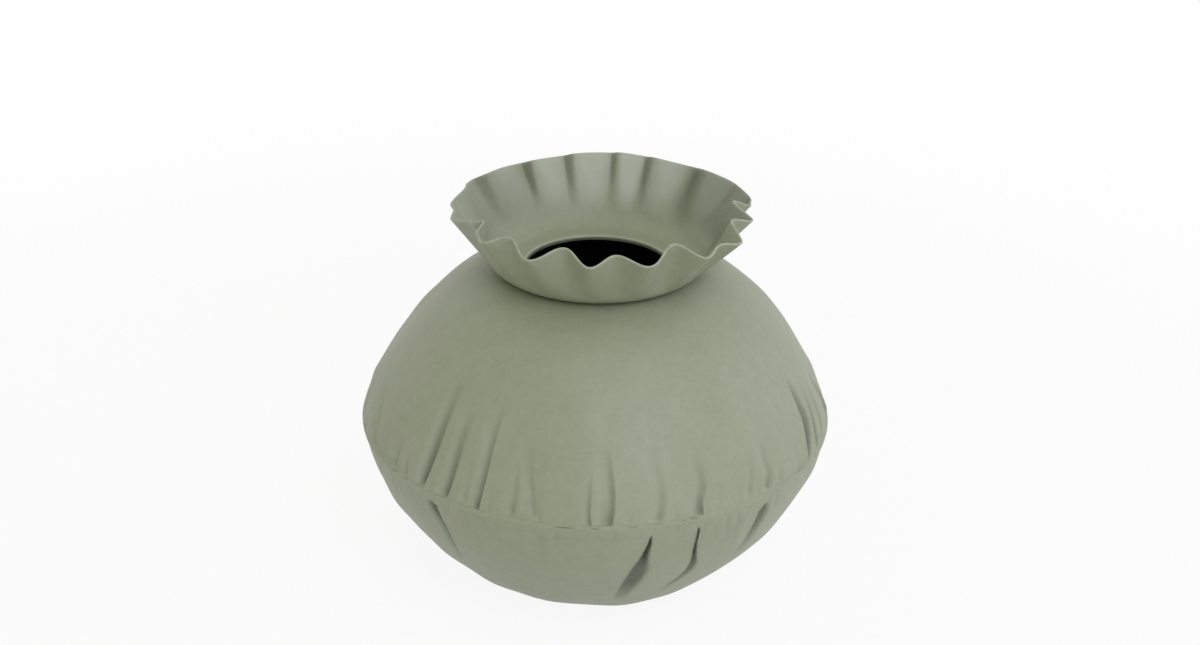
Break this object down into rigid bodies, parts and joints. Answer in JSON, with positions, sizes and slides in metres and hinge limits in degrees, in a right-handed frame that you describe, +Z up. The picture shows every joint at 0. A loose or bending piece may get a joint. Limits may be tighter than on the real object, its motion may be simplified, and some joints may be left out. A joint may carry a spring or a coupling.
{
  "type": "pillow vase",
  "caption": "Round blown-sheet vase with a puckered welded seam round its belly and a flared, ruffled collar round an open mouth, standing on a flat base with thin pads.",
  "frame": {"origin": "on the ground under the middle of the vase", "axes": "+Z up through the mouth; -Y is the side that the picture shows; +X to the right of that side"},
  "size_m": [0.3006, 0.3006, 0.2474],
  "materials": {
    "sage_coat": "matte powder coat with a fine leathery orange peel",
    "pad_felt": "pressed felt"
  },
  "bodies": {
    "root": {"lower_shell": "sage_coat", "upper_shell": "sage_coat", "seam_weld": "sage_coat", "ruffled_collar": "sage_coat", "mouth_weld": "sage_coat", "base_pad_1": "pad_felt", "base_pad_2": "pad_felt", "base_pad_3": "pad_felt", "base_pad_4": "pad_felt"}
  },
  "joints": []
}
